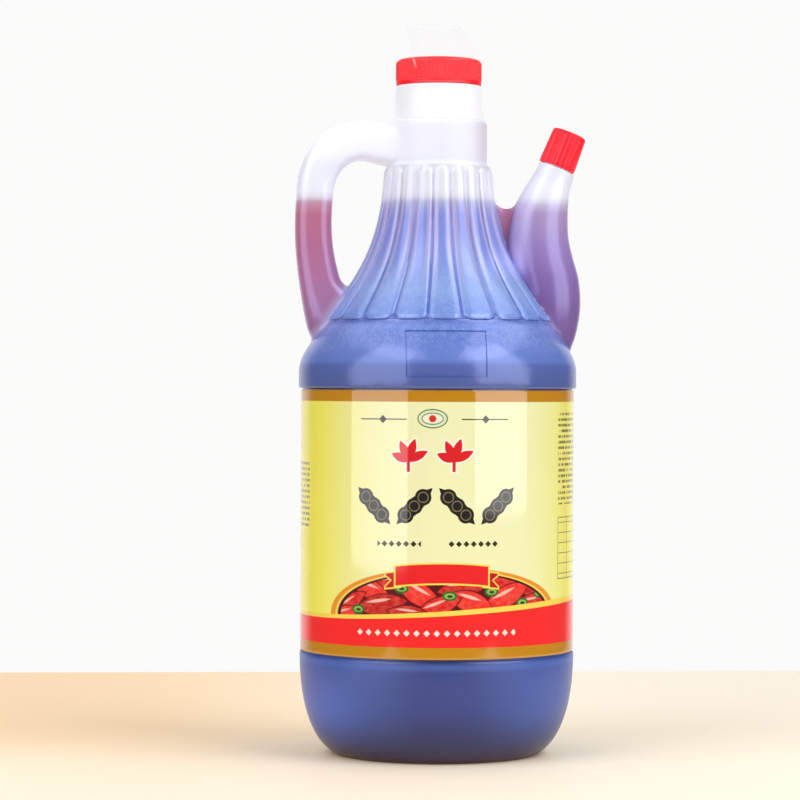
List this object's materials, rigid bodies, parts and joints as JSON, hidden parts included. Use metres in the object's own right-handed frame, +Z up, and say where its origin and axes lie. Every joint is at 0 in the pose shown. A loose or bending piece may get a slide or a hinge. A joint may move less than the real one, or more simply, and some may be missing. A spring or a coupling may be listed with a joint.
{
  "type": "soy sauce bottle",
  "caption": "One-handled table jug of soy sauce in milky plastic with a fluted cone, a capped side spout, a ribbed screw cap under clear film and a wrap label.",
  "frame": {"origin": "centre of the base, on the axis of the round body", "axes": "+Z up; the front of the label faces -Y, the handle is towards -X and the spout towards +X"},
  "size_m": [0.092, 0.088, 0.2303],
  "materials": {
    "milky_polyethylene": "milky, translucent, soft sheen",
    "sauce": "liquid",
    "white_polypropylene": "satin",
    "red_polypropylene": "satin, ribbed",
    "printed_sleeve": "printed film, glossy",
    "clear_film": "clear shrink film"
  },
  "bodies": {
    "root": {"bottle": "milky_polyethylene", "soy_sauce": "sauce", "cap_collar": "white_polypropylene", "main_cap": "red_polypropylene", "spout_cap": "red_polypropylene", "label": "printed_sleeve", "seal_film": "clear_film"}
  },
  "joints": []
}
